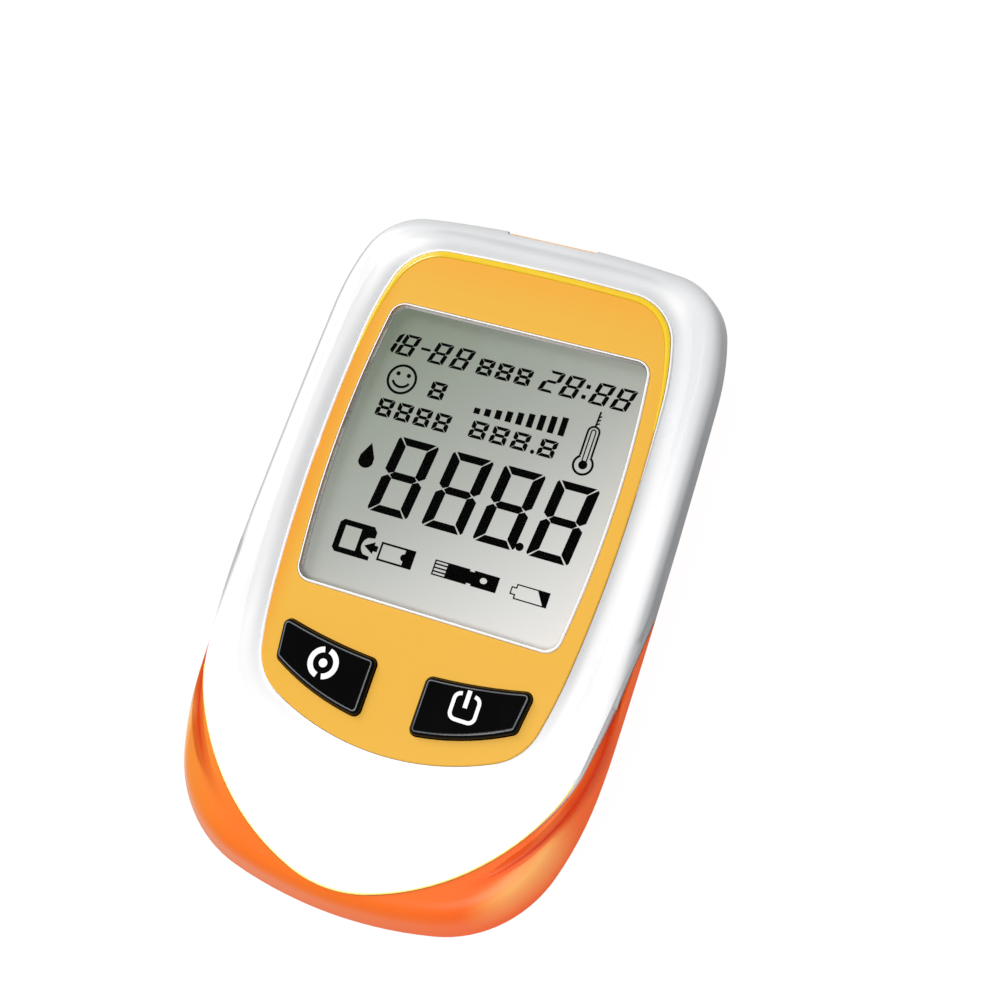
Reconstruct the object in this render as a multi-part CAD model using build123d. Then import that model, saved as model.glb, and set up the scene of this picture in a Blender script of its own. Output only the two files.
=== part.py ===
from build123d import *
import math
import os

# Hand-held blood glucose meter, lying on its back.
# Millimetres. +Z is the side with the display, +Y points to the strip port,
# and the origin is on the table under the middle of the body.

# ---------------------------------------------------------------- body
BODY_LENGTH = 94.0
BODY_WIDTH = 57.5
WIDEST_REACH = 30.5        # from the lower end to the widest station
FOOT_PROUD = 0.6           # back face above the table
WALL = 1.8
WIDE_Z = 16.6              # height of the widest contour
CREST_Z = 21.2             # highest line of the white rim
SIDE_DRAFT = 12.0          # lower half leans in towards the back
RIM_DRAFT = 8.0            # upper half leans in towards the crest
RIM_ROUND = 2.4
BACK_ROUND = 4.2

LOWER_CORNER_R, LOWER_HAUNCH_R = 17.3, 45.3
LOWER_TURNS = (13.6, 72.7, 86.6)
UPPER_CORNER_R, UPPER_HAUNCH_R = 9.5, 38.0
UPPER_TURNS = (6.0, 74.0, 87.8)

# ---------------------------------------------------------------- parting of white and orange
PART_GAP = 0.06            # seam between the white U and the fender
U_PROUD = 0.3              # the U is this much wider than the body, so the fender runs out in wings
U_END_GAP = 3.0            # orange left past the U at the lower end
U_REACH = 62.1
U_CORNER_R, U_HAUNCH_R = 32.7, 19.7
U_TURNS = (18.2, 65.1, 82.5)
U_EDGE_ROUND = 0.3
PART_DROP = 0.7            # seam below the widest contour, beside the wings
PART_BEND = 51.0           # from the lower end: here the seam starts to slope to the strip end
PART_SLOPE = 6.0
FENDER_DROP = 0.25         # fender top below the white crest
FENDER_DRAFT = 26.0        # fender's shoulder leans in further than the white rim
FENDER_ROUND = 3.0
VALLEY_R = 27.7            # valley rings: radius of their path
VALLEY_FROM_END = 30.3     # middle of the rings, from the lower end
VALLEY_TILT = 8.5          # they lift out of the fender towards the lower end
VALLEY_TUBE_R, VALLEY_DEPTH = 3.4, 2.55        # depth at the wings, below the fender's top
CREASE_TUBE_R, CREASE_DEPTH = 0.9, 0.4         # finer ring along the floor of the valley

# ---------------------------------------------------------------- face plate and display window
WINDOW_FROM_END = 34.55    # middle of the display window, from the strip end
FACE_DROP = 0.8            # plate surface below the crest
FACE_THICK = 1.0
FACE_FIT = 0.06
FACE_HALF_W = 22.0
FACE_TOP = 29.1            # from the window's middle
FACE_BOTTOM = 38.8
FACE_STATION = -1.7
FACE_UPPER_CORNER_R, FACE_UPPER_HAUNCH_R = 7.2, 41.0
FACE_UPPER_TURNS = (2.5, 74.5, 86.0)
FACE_LOWER_CORNER_R, FACE_LOWER_HAUNCH_R = 7.7, 69.5
FACE_LOWER_TURNS = (25.4, 77.3, 84.2)
FACE_EDGE = 0.15
DISH_WIDTH = 3.0           # from the rim down to the plate
DISH_DROP = 1.0
DISH_LEDGE = 0.4           # flat line of white beside the plate
DECK_THICK = 1.4           # shell under the plate

LENS_W, LENS_L = 39.8, 40.5
LENS_BOW_R = 150.0
LENS_CORNER_R = 2.2
LENS_THICK = 1.2
LENS_PROUD = 0.2
LENS_FIT = 0.1
LENS_EDGE = 0.25
LENS_LEDGE = 0.3           # shell showing as a fine line inside the lens edge

# ---------------------------------------------------------------- display module
GLASS_W, GLASS_L, GLASS_THICK = 43.0, 43.6, 0.9
GLASS_LEDGE = 2.4          # front glass reaches past the rear glass at both ends
GLASS_FIT = 0.2
LCD_SKIN = 0.3             # shell left over the glass
FOIL_THICK = 0.2
ZEBRA_W, ZEBRA_L = 1.4, 38.0
FRAME_WALL = 1.2

# ---------------------------------------------------------------- buttons
BUTTON_IN, BUTTON_OUT = 3.55, 17.75
BUTTON_TOP_Y, BUTTON_TOP_R = -27.5, 76.0       # upper edge, from the window's middle
BUTTON_LOW_Y, BUTTON_LOW_R = -35.4, 35.0       # lower edge
BUTTON_SIDE_LEAN = 8.0
BUTTON_CORNER = 0.9
BUTTON_PROUD = 0.9         # above the face plate
BUTTON_ROUND = 0.7
BUTTON_FIT = 0.15
FLANGE_W, FLANGE_THICK = 0.8, 0.8
FLANGE_GAP = 0.1
PRESS = 0.4                # travel
STEM_R = 1.6
SWITCH_SIZE, SWITCH_H = 4.6, 1.4
PLUNGER_R, PLUNGER_FIT = 1.0, 0.08
SWITCH_X, SWITCH_Y = 10.6, -31.0               # from the window's middle

# ---------------------------------------------------------------- board
BOARD_THICK = 1.0
BOARD_TOP = 14.6
BOARD_MARGIN = 0.8         # board edge to the inner wall
BOARD_LOW = -37.0          # from the window's middle
BOARD_END_GAP = 4.9        # from the strip end
BOARD_HOLE_FIT = 0.25
BOARD_SCREW_Y = -23.6      # from the window's middle, between display and buttons
BOARD_SCREW_GAP = 1.3      # from the bay wall to the screw's head
BOARD_SCREW_R, BOARD_SCREW_HEAD_R, BOARD_SCREW_HEAD_H, BOARD_SCREW_L = 0.7, 1.3, 0.8, 4.0
BOARD_BOSS_R = 1.4

# places of the parts on the board are from the window's middle
CHIP_H, CHIP_LIFT, CHIP_EDGE = 1.2, 0.1, 0.1
PIN_REACH = 0.8
MAIN_CHIP_X, MAIN_CHIP_Y, MAIN_CHIP_W, MAIN_CHIP_L = 4.0, 1.5, 9.0, 11.0
MAIN_CHIP_PINS, MAIN_CHIP_PITCH = 10, 1.0
MEMORY_CHIP_X, MEMORY_CHIP_Y, MEMORY_CHIP_W, MEMORY_CHIP_L = -10.0, -4.5, 4.0, 5.0
MEMORY_CHIP_PINS, MEMORY_CHIP_PITCH = 4, 1.27
CRYSTAL_X, CRYSTAL_Y, CRYSTAL_W, CRYSTAL_L = -8.0, 5.5, 6.6, 3.2
PASSIVE_W, PASSIVE_L, PASSIVE_H = 0.8, 1.6, 0.6
PASSIVE_PITCH = 2.5
SIDE_PASSIVES, SIDE_PASSIVE_X, SIDE_PASSIVE_Y = 6, 14.0, -10.5
END_PASSIVES, END_PASSIVE_X, END_PASSIVE_Y = 4, -15.0, 10.7
BUZZER_X, BUZZER_Y, BUZZER_R, BUZZER_H = -12.0, 13.5, 5.5, 3.0
BUZZER_HOLE_R, BUZZER_EDGE = 1.1, 0.4

# ---------------------------------------------------------------- battery bay and door
CELL_R, CELL_L = 5.25, 44.5
CELL_EDGE = 0.4
NUB_R, NUB_H, NUB_EDGE = 1.9, 0.8, 0.25
CELL_GAP = 0.3
BAY_WALL = 1.0
BAY_ROOF = 0.7
BAY_END_GAP = 6.7          # from the lower end of the body
SPRING_L = 4.4
PLATE_THICK = 0.3
PLATE_W, PLATE_H = 7.4, 7.0
SPRING_WIRE, SPRING_R, SPRING_TURNS = 0.5, 2.6, 3.5
DOOR_HALF_W = 13.3
DOOR_PAST_BAY = 2.7        # door's end past the bay, towards the strip end
DOOR_THICK = 1.3
DOOR_WRAP_Z = 8.0          # the door's end climbs the lower end of the body to here
DOOR_FIT = 0.12
RAIL_W, RAIL_THICK = 1.7, 0.8
TONGUE_W, TONGUE_THICK = 1.1, 0.7
LATCH_HALF_W, LATCH_REACH = 1.8, 2.0
RIDGES, RIDGE_PITCH, RIDGE_LENGTH, RIDGE_R = 5, 2.0, 14.0, 0.45
RIDGE_FROM_END = 13.0

# ---------------------------------------------------------------- screws and feet
SCREW_R, SCREW_HEAD_R, SCREW_HEAD_H, SCREW_L = 1.0, 1.9, 1.3, 8.0
SCREW_FIT, SCREW_HEAD_FIT = 0.06, 0.3
POST_R, BOSS_R = 3.0, 2.5
SEAT_Z = 5.0               # screw head sits on this height, deep in its post
POST_TOP_Z = 8.0
UPPER_SCREW_X, UPPER_SCREW_FROM_END = 13.5, 9.7
LOWER_SCREW_X, LOWER_SCREW_FROM_END = 17.0, 15.2
FOOT_R, FOOT_SUNK, FOOT_FIT = 3.2, 0.5, 0.1
UPPER_FOOT_X, UPPER_FOOT_FROM_END = 16.2, 17.9
LOWER_FOOT_X, LOWER_FOOT_FROM_END = 17.0, 26.9

# ---------------------------------------------------------------- strip port
PORT_HALF_W = 6.3
PORT_DEPTH = 1.4           # of the notch, from the end of the body
PORT_SLANT = 0.7
PORT_TOP_Z = 19.8
PORT_PROUD = 0.55          # orange mouth past the floor of the notch
PORT_FIT = 0.15
SLOT_HALF_W, SLOT_H = 4.3, 1.5
SLOT_LIFT = 1.6            # middle of the slot above the board
SLOT_FLARE = 0.6
SOCKET_HALF_W, SOCKET_L, SOCKET_H, SOCKET_BACK = 6.4, 7.7, 3.1, 1.2
SOCKET_END_GAP = 4.0       # from the end of the body
FINGERS, FINGER_PITCH, FINGER_W, FINGER_THICK = 5, 1.5, 0.7, 0.25
FINGER_DIP, FINGER_LIFT = 0.9, 0.35

# ---------------------------------------------------------------- worked out from the above
LOW_END = -BODY_LENGTH / 2
HIGH_END = BODY_LENGTH / 2
HALF_W = BODY_WIDTH / 2
BACK_Z = FOOT_PROUD
FACE_Z = CREST_Z - FACE_DROP
DECK_Z = FACE_Z - FACE_THICK
CEILING_Z = DECK_Z - DECK_THICK
LENS_Z = FACE_Z + LENS_PROUD
GLASS_Z = LENS_Z - LENS_THICK - LCD_SKIN
PART_Z = WIDE_Z - PART_DROP
U_END = LOW_END + U_END_GAP
WINDOW_Y = HIGH_END - WINDOW_FROM_END
PLUNGER_TOP = BOARD_TOP + SWITCH_H + PRESS
CELL_X = CELL_R + CELL_GAP / 2
CELL_Z = BACK_Z + DOOR_THICK + CELL_GAP + CELL_R
BAY_HALF_W = CELL_X + CELL_R + CELL_GAP
BAY_LOW_Y = LOW_END + BAY_END_GAP
BAY_HIGH_Y = BAY_LOW_Y + 2 * PLATE_THICK + SPRING_L + CELL_L
BAY_ROOF_Z = CELL_Z + CELL_R + DOOR_FIT
DOOR_HIGH_Y = BAY_HIGH_Y + DOOR_PAST_BAY
RAIL_X = DOOR_HALF_W - RAIL_W
RAIL_Z = BACK_Z + DOOR_THICK + DOOR_FIT
TONGUE_Z = RAIL_Z + RAIL_THICK + DOOR_FIT
BAY_SKIRT_Z = TONGUE_Z + TONGUE_THICK + DOOR_FIT
SCREWS = ((UPPER_SCREW_X, HIGH_END - UPPER_SCREW_FROM_END), (LOWER_SCREW_X, LOW_END + LOWER_SCREW_FROM_END))
FEET = ((UPPER_FOOT_X, HIGH_END - UPPER_FOOT_FROM_END), (LOWER_FOOT_X, LOW_END + LOWER_FOOT_FROM_END))
BOARD_SCREWS = ((BAY_HALF_W + BAY_WALL + BOARD_SCREW_GAP + BOARD_SCREW_HEAD_R, WINDOW_Y + BOARD_SCREW_Y),)
BOARD_INSET = BOARD_MARGIN + (WIDE_Z - BOARD_TOP) * math.tan(math.radians(SIDE_DRAFT))
SLOT_Z = BOARD_TOP + SLOT_LIFT
SOCKET_HIGH_Y = HIGH_END - SOCKET_END_GAP
SOCKET_LOW_Y = SOCKET_HIGH_Y - SOCKET_L


def bow_radii(half_width, reach, corner_r, haunch_r, turns):
    """Radii of the end bow and the side bow that close a quarter outline."""
    s1, s2, s3 = [math.sin(math.radians(a)) for a in turns]
    c1, c2, c3 = [math.cos(math.radians(a)) for a in turns]
    wide = half_width - corner_r * (s2 - s1) - haunch_r * (s3 - s2)
    far = reach - corner_r * (c1 - c2) - haunch_r * (c2 - c3)
    det = s1 * c3 - (1 - s3) * (1 - c1)
    end = (wide * c3 - far * (1 - s3)) / det
    side = (far * s1 - wide * (1 - c1)) / det
    return end, corner_r, haunch_r, side


def quarter(half_width, reach, corner_r, haunch_r, turns, end_y, up, right, inset):
    """Four tangent arcs from the middle of an end to the widest station."""
    radii = bow_radii(half_width, reach, corner_r, haunch_r, turns)
    stops = (0.0,) + tuple(turns) + (90.0,)
    x, y = 0.0, inset
    arcs = []
    for radius, start, stop in zip(radii, stops, stops[1:]):
        points = []
        for angle in (start, (start + stop) / 2, stop):
            a, a0 = math.radians(angle), math.radians(start)
            px = x + (radius - inset) * (math.sin(a) - math.sin(a0))
            py = y + (radius - inset) * (math.cos(a0) - math.cos(a))
            points.append((right * px, end_y + up * py))
        x, y = px, py
        arcs.append(ThreePointArc(*points))
    return arcs


def closed(lower, upper, inset):
    """Face of an outline that mirrors left to right, from its two end quarters."""
    edges = []
    for right in (1, -1):
        for spec in (lower, upper):
            edges += quarter(*spec, right=right, inset=inset)
    return make_face(Wire(edges))


def body_face(inset=0.0):
    lower = (HALF_W, WIDEST_REACH, LOWER_CORNER_R, LOWER_HAUNCH_R, LOWER_TURNS, LOW_END, 1)
    upper = (HALF_W, BODY_LENGTH - WIDEST_REACH, UPPER_CORNER_R, UPPER_HAUNCH_R, UPPER_TURNS,
             HIGH_END, -1)
    return closed(lower, upper, inset)


def u_face(inset=0.0):
    """The white shell's outline at the lower end, running straight on past the strip end."""
    half = HALF_W + U_PROUD
    radii = quarter(half, U_REACH, U_CORNER_R, U_HAUNCH_R, U_TURNS, U_END, 1, 1, inset)
    left = quarter(half, U_REACH, U_CORNER_R, U_HAUNCH_R, U_TURNS, U_END, 1, -1, inset)
    far = HIGH_END + WALL
    shoulder = U_END + U_REACH
    x = half - inset
    sides = [Line((x, shoulder), (x, far)), Line((x, far), (-x, far)), Line((-x, far), (-x, shoulder))]
    return make_face(Wire(radii + sides + left))


def plate_face(inset=0.0):
    lower = (FACE_HALF_W, FACE_BOTTOM + FACE_STATION, FACE_LOWER_CORNER_R, FACE_LOWER_HAUNCH_R,
             FACE_LOWER_TURNS, WINDOW_Y - FACE_BOTTOM, 1)
    upper = (FACE_HALF_W, FACE_TOP - FACE_STATION, FACE_UPPER_CORNER_R, FACE_UPPER_HAUNCH_R,
             FACE_UPPER_TURNS, WINDOW_Y + FACE_TOP, -1)
    return closed(lower, upper, inset)


def lens_face(inset=0.0):
    """Window outline: straight ends, bowed sides, rounded corners."""
    x, y = LENS_W / 2 - inset, LENS_L / 2 - inset
    bow = LENS_BOW_R - math.sqrt(LENS_BOW_R ** 2 - y ** 2)
    corners = [(x - bow, y), (-x + bow, y), (-x + bow, -y), (x - bow, -y)]
    edges = [
        Line(corners[0], corners[1]),
        ThreePointArc(corners[1], (-x, 0), corners[2]),
        Line(corners[2], corners[3]),
        ThreePointArc(corners[3], (x, 0), corners[0]),
    ]
    face = make_face(Wire(edges))
    face = fillet(face.vertices(), LENS_CORNER_R - inset)
    return Pos(0, WINDOW_Y) * face


def button_face(side, grow=0.0):
    """Cap outline between two arcs about the meter's middle line; side is -1 left, 1 right."""
    top_centre = WINDOW_Y + BUTTON_TOP_Y + BUTTON_TOP_R
    low_centre = WINDOW_Y + BUTTON_LOW_Y + BUTTON_LOW_R
    x0, x1 = BUTTON_IN - grow, BUTTON_OUT + grow
    top_r, low_r = BUTTON_TOP_R - grow, BUTTON_LOW_R + grow
    lean = math.tan(math.radians(BUTTON_SIDE_LEAN))

    def top(x):
        return top_centre - math.sqrt(top_r ** 2 - x ** 2)

    def low(x):
        return low_centre - math.sqrt(low_r ** 2 - x ** 2)

    x2 = x1 - (top(x1) - low(x1)) * lean
    mid = (x0 + x1) / 2
    edges = [
        ThreePointArc((x0, top(x0)), (mid, top(mid)), (x1, top(x1))),
        Line((x1, top(x1)), (x2, low(x2))),
        ThreePointArc((x2, low(x2)), (mid, low(mid)), (x0, low(x0))),
        Line((x0, low(x0)), (x0, top(x0))),
    ]
    face = make_face(Wire(edges))
    face = fillet(face.vertices(), BUTTON_CORNER + grow)
    return face if side > 0 else mirror(face, about=Plane.YZ)


def prism(face, z0, z1):
    return extrude(Pos(0, 0, z0) * face, amount=z1 - z0)


def block(x0, x1, y0, y1, z0, z1):
    return Pos((x0 + x1) / 2, (y0 + y1) / 2, (z0 + z1) / 2) * Box(x1 - x0, y1 - y0, z1 - z0)


def rod(x, y, z0, z1, radius):
    return Pos(x, y, (z0 + z1) / 2) * Cylinder(radius, z1 - z0)


def both_sides(points):
    return [(side * x, y) for x, y in points for side in (1, -1)]


def body_form(top_z, rim_round, inset=0.0, rim_draft=RIM_DRAFT):
    """Boat-shaped body: drafted and rounded towards the back, and towards the rim."""
    low_z = BACK_Z + inset
    outline = Pos(0, 0, WIDE_Z) * body_face(inset)
    lower = extrude(outline, amount=-(WIDE_Z - low_z), taper=SIDE_DRAFT)
    lower = fillet(lower.edges().group_by(Axis.Z)[0], BACK_ROUND - inset)
    upper = extrude(outline, amount=top_z - WIDE_Z, taper=rim_draft)
    if rim_round:
        upper = fillet(upper.edges().group_by(Axis.Z)[-1], rim_round)
    return lower + upper


def part_region(gap=0.0):
    """Space of the white shell: inside the U, and above the seam seen from the side."""
    far = BODY_LENGTH
    bend = LOW_END + PART_BEND
    drop = (far - bend) * math.tan(math.radians(PART_SLOPE))
    high = CREST_Z + WALL
    side = Polygon((-far, PART_Z), (bend, PART_Z), (far, PART_Z - drop), (far, high), (-far, high),
                   align=None)
    slab = extrude(Plane.YZ * side, amount=BODY_WIDTH, both=True)
    return slab & prism(u_face(-gap), 0, high)


def valley_ring(tube_r, depth):
    """Ring that hollows the fender on both sides and lifts out of it towards the lower end."""
    floor_z = CREST_Z - FENDER_DROP - depth
    ring = Rot(-VALLEY_TILT, 0, 0) * Torus(VALLEY_R, tube_r)
    return Pos(0, LOW_END + VALLEY_FROM_END, floor_z + tube_r) * ring


def port_notch(depth):
    """Wedge-sided notch in the strip end, depth measured from the end of the body."""
    y = HIGH_END - depth
    x = PORT_HALF_W
    far = HIGH_END + WALL
    reach = (far - y) * PORT_SLANT / PORT_DEPTH
    sketch = Polygon((-x, y), (x, y), (x + reach, far), (-x - reach, far), align=None)
    return prism(sketch, 0, CREST_Z + WALL)


def fender_form():
    return body_form(CREST_Z - FENDER_DROP, FENDER_ROUND, rim_draft=FENDER_DRAFT)


def top_shell():
    u_form = prism(u_face(), 0, CREST_Z)
    u_form = fillet(u_form.edges().group_by(Axis.Z)[-1], U_EDGE_ROUND)
    shell = body_form(CREST_Z, RIM_ROUND) & part_region() & u_form
    inner = body_form(CEILING_Z, 0, WALL) & prism(u_face(WALL), 0, CEILING_Z)
    shell -= inner
    dish = loft([Pos(0, 0, CREST_Z - DISH_DROP) * plate_face(-FACE_FIT - DISH_LEDGE),
                 Pos(0, 0, CREST_Z) * plate_face(-DISH_WIDTH)], ruled=True)
    shell -= dish
    shell -= prism(plate_face(-FACE_FIT), DECK_Z, CREST_Z)
    shell -= prism(lens_face(LENS_LEDGE), 0, DECK_Z)
    shell -= block(-GLASS_W / 2 - GLASS_FIT, GLASS_W / 2 + GLASS_FIT,
                   WINDOW_Y - GLASS_L / 2 - GLASS_FIT, WINDOW_Y + GLASS_L / 2 + GLASS_FIT, 0, GLASS_Z)
    for side in (-1, 1):
        shell -= prism(button_face(side, BUTTON_FIT), 0, DECK_Z)
    shell -= port_notch(PORT_DEPTH)
    shell -= block(-PORT_HALF_W, PORT_HALF_W, HIGH_END - PORT_DEPTH - 2 * WALL, HIGH_END, 0, PORT_TOP_Z)
    for x, y in both_sides(SCREWS):
        shell += rod(x, y, POST_TOP_Z + PART_GAP, CEILING_Z, BOSS_R)
        shell -= rod(x, y, POST_TOP_Z, SEAT_Z + SCREW_L + SCREW_R, SCREW_R + SCREW_FIT)
    for x, y in both_sides(BOARD_SCREWS):
        shell += rod(x, y, BOARD_TOP, CEILING_Z, BOARD_BOSS_R)
        shell -= rod(x, y, BOARD_TOP, BOARD_TOP - BOARD_THICK + BOARD_SCREW_L + BOARD_SCREW_R,
                     BOARD_SCREW_R + SCREW_FIT)
    return shell


def rear_shell():
    form = fender_form() - part_region(PART_GAP)
    form -= valley_ring(VALLEY_TUBE_R, VALLEY_DEPTH)
    form -= valley_ring(CREASE_TUBE_R, VALLEY_DEPTH + CREASE_DEPTH)
    inner = body_form(CEILING_Z, 0, WALL)
    form -= inner & prism(u_face(-PART_GAP), 0, PART_Z)
    form -= inner - prism(u_face(-PART_GAP - WALL), PART_Z, CREST_Z)
    form -= door_opening()
    form += battery_bay()
    for x, y in both_sides(SCREWS):
        form += rod(x, y, BACK_Z + WALL / 2, POST_TOP_Z, POST_R)
        form -= rod(x, y, 0, SEAT_Z, SCREW_HEAD_R + SCREW_HEAD_FIT)
        form -= rod(x, y, SEAT_Z, POST_TOP_Z, SCREW_R + SCREW_FIT)
    for x, y in both_sides(FEET):
        form -= rod(x, y, 0, BACK_Z + FOOT_SUNK, FOOT_R + FOOT_FIT)
    return form


def door_opening():
    """Room for the door: its plate, the cells between the rails, and its climbing end."""
    x = DOOR_HALF_W + DOOR_FIT
    high = DOOR_HIGH_Y + DOOR_FIT
    room = block(-x, x, LOW_END, high, 0, RAIL_Z)
    room += block(-RAIL_X, RAIL_X, LOW_END, high, 0, RAIL_Z + WALL)
    return room + block(-x, x, LOW_END, BAY_LOW_Y + WALL, 0, DOOR_WRAP_Z + DOOR_FIT)


def battery_bay():
    """Box for the two cells, hung from cross ribs, and the rails that the door slides on."""
    skin = body_form(CEILING_Z, 0, WALL / 2)
    x = BAY_HALF_W + BAY_WALL
    low, high = BAY_LOW_Y - BAY_WALL, BAY_HIGH_Y + BAY_WALL
    roof = BAY_ROOF_Z + BAY_ROOF
    bay = block(-x, x, low, high, BAY_SKIRT_Z, roof)
    for y in (low, high - BAY_WALL):
        rib = block(-HALF_W, HALF_W, y, y + BAY_WALL, BACK_Z + WALL / 2, roof) & skin
        rib -= block(-x - RAIL_W, x + RAIL_W, low, high, 0, BAY_SKIRT_Z)
        bay += rib
    bay -= block(-BAY_HALF_W, BAY_HALF_W, BAY_LOW_Y, BAY_HIGH_Y, 0, BAY_ROOF_Z)
    for side in (-1, 1):
        x0, x1 = sorted((side * RAIL_X, side * (DOOR_HALF_W + RAIL_W)))
        bay += block(x0, x1, BAY_LOW_Y + WALL, DOOR_HIGH_Y + RAIL_W, RAIL_Z, RAIL_Z + RAIL_THICK)
    return bay


# ---------------------------------------------------------------- face plate, window and display
def face_plate():
    plate = prism(plate_face(), DECK_Z, FACE_Z)
    plate = chamfer(plate.edges().group_by(Axis.Z)[-1], FACE_EDGE)
    plate -= prism(lens_face(-LENS_FIT), DECK_Z, FACE_Z)
    for side in (-1, 1):
        plate -= prism(button_face(side, BUTTON_FIT), DECK_Z, FACE_Z)
    return plate


def display_window():
    lens = prism(lens_face(), LENS_Z - LENS_THICK, LENS_Z)
    return chamfer(lens.edges().group_by(Axis.Z)[-1], LENS_EDGE)


def glass(length, top):
    half = GLASS_W / 2
    return block(-half, half, WINDOW_Y - length / 2, WINDOW_Y + length / 2, top - GLASS_THICK, top)


def lcd_front_glass():
    return glass(GLASS_L, GLASS_Z)


def lcd_rear_glass():
    return glass(GLASS_L - 2 * GLASS_LEDGE, GLASS_Z - GLASS_THICK)


def lcd_reflector():
    half_w, half_l = GLASS_W / 2, GLASS_L / 2 - GLASS_LEDGE
    top = GLASS_Z - 2 * GLASS_THICK
    return block(-half_w, half_w, WINDOW_Y - half_l, WINDOW_Y + half_l, top - FOIL_THICK, top)


def lcd_frame():
    """Holder between glass and board, with a slot at each end for an elastomer strip."""
    half_w, half_l = GLASS_W / 2, GLASS_L / 2
    top = GLASS_Z - 2 * GLASS_THICK - FOIL_THICK
    inner_l = half_l - GLASS_LEDGE - FRAME_WALL
    frame = block(-half_w, half_w, WINDOW_Y - half_l, WINDOW_Y + half_l, BOARD_TOP, top)
    frame -= block(FRAME_WALL - half_w, half_w - FRAME_WALL, WINDOW_Y - inner_l, WINDOW_Y + inner_l,
                   BOARD_TOP, top)
    for solid in zebra_places(GLASS_FIT / 2):
        frame -= solid
    return frame


def zebra_places(grow):
    """The two elastomer strips under the front glass's free ends."""
    half = ZEBRA_L / 2 + grow
    middle = GLASS_L / 2 - GLASS_LEDGE / 2
    solids = []
    for end in (-1, 1):
        y = WINDOW_Y + end * middle
        solids.append(block(-half, half, y - ZEBRA_W / 2 - grow, y + ZEBRA_W / 2 + grow,
                            BOARD_TOP, GLASS_Z - GLASS_THICK))
    return solids


# ---------------------------------------------------------------- buttons and switches
def button(side):
    top = FACE_Z + BUTTON_PROUD
    flange_top = CEILING_Z - FLANGE_GAP
    cap = prism(button_face(side), flange_top - FLANGE_THICK, top)
    cap = fillet(cap.edges().group_by(Axis.Z)[-1], BUTTON_ROUND)
    cap += prism(button_face(side, FLANGE_W), flange_top - FLANGE_THICK, flange_top)
    x, y = side * SWITCH_X, WINDOW_Y + SWITCH_Y
    return cap + rod(x, y, PLUNGER_TOP, flange_top - FLANGE_THICK, STEM_R)


def switch_plunger(side):
    x, y = side * SWITCH_X, WINDOW_Y + SWITCH_Y
    return rod(x, y, PLUNGER_TOP - 3 * PRESS, PLUNGER_TOP, PLUNGER_R)


def switch_bodies():
    half = SWITCH_SIZE / 2
    top = BOARD_TOP + SWITCH_H
    solids = []
    for side in (-1, 1):
        x, y = side * SWITCH_X, WINDOW_Y + SWITCH_Y
        body = block(x - half, x + half, y - half, y + half, BOARD_TOP, top)
        body -= rod(x, y, PLUNGER_TOP - 4 * PRESS - PLUNGER_FIT, top, PLUNGER_R + PLUNGER_FIT)
        solids.append(body)
    return solids


# ---------------------------------------------------------------- board
def main_board():
    board = prism(body_face(WALL + BOARD_INSET), BOARD_TOP - BOARD_THICK, BOARD_TOP)
    board &= block(-HALF_W, HALF_W, WINDOW_Y + BOARD_LOW, HIGH_END - BOARD_END_GAP, 0, CREST_Z)
    for x, y in both_sides(SCREWS):
        board -= rod(x, y, 0, CREST_Z, BOSS_R + BOARD_HOLE_FIT)
    for x, y in both_sides(BOARD_SCREWS):
        board -= rod(x, y, 0, CREST_Z, BOARD_SCREW_R + SCREW_FIT)
    return board


def chip(x, y, width, length, pins, pitch):
    """Flat chip with pins along its two long sides; its place is from the window's middle."""
    y += WINDOW_Y
    base = BOARD_TOP + CHIP_LIFT
    body = block(x - width / 2, x + width / 2, y - length / 2, y + length / 2, base, base + CHIP_H)
    body = chamfer(body.edges().group_by(Axis.Z)[-1], CHIP_EDGE)
    for side in (-1, 1):
        x0, x1 = sorted((x + side * width / 2, x + side * (width / 2 + PIN_REACH)))
        for i in range(pins):
            py = y + (i - (pins - 1) / 2) * pitch
            body += block(x0, x1, py - pitch / 4, py + pitch / 4, BOARD_TOP, base + CHIP_LIFT)
    return body


def main_chip():
    return chip(MAIN_CHIP_X, MAIN_CHIP_Y, MAIN_CHIP_W, MAIN_CHIP_L, MAIN_CHIP_PINS, MAIN_CHIP_PITCH)


def memory_chip():
    return chip(MEMORY_CHIP_X, MEMORY_CHIP_Y, MEMORY_CHIP_W, MEMORY_CHIP_L, MEMORY_CHIP_PINS,
                MEMORY_CHIP_PITCH)


def crystal():
    """Small metal can lying on the board, with rounded ends."""
    outline = Pos(CRYSTAL_X, WINDOW_Y + CRYSTAL_Y) * SlotOverall(CRYSTAL_W, CRYSTAL_L)
    can = prism(outline, BOARD_TOP, BOARD_TOP + CHIP_H)
    return chamfer(can.edges().group_by(Axis.Z)[-1], CHIP_EDGE)


def board_passives():
    """Two rows of small ceramic parts beside the chips."""
    places = [(SIDE_PASSIVE_X, SIDE_PASSIVE_Y + PASSIVE_PITCH * i, PASSIVE_L, PASSIVE_W)
              for i in range(SIDE_PASSIVES)]
    places += [(END_PASSIVE_X + PASSIVE_PITCH * i, END_PASSIVE_Y, PASSIVE_W, PASSIVE_L)
               for i in range(END_PASSIVES)]
    return [block(x - w / 2, x + w / 2, WINDOW_Y + y - d / 2, WINDOW_Y + y + d / 2, BOARD_TOP,
                  BOARD_TOP + PASSIVE_H) for x, y, w, d in places]


def buzzer():
    x, y = BUZZER_X, WINDOW_Y + BUZZER_Y
    high = BOARD_TOP - BOARD_THICK
    can = rod(x, y, high - BUZZER_H, high, BUZZER_R)
    can = chamfer(can.edges().group_by(Axis.Z)[0], BUZZER_EDGE)
    return can - rod(x, y, high - BUZZER_H, high - BUZZER_H / 2, BUZZER_HOLE_R)


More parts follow.
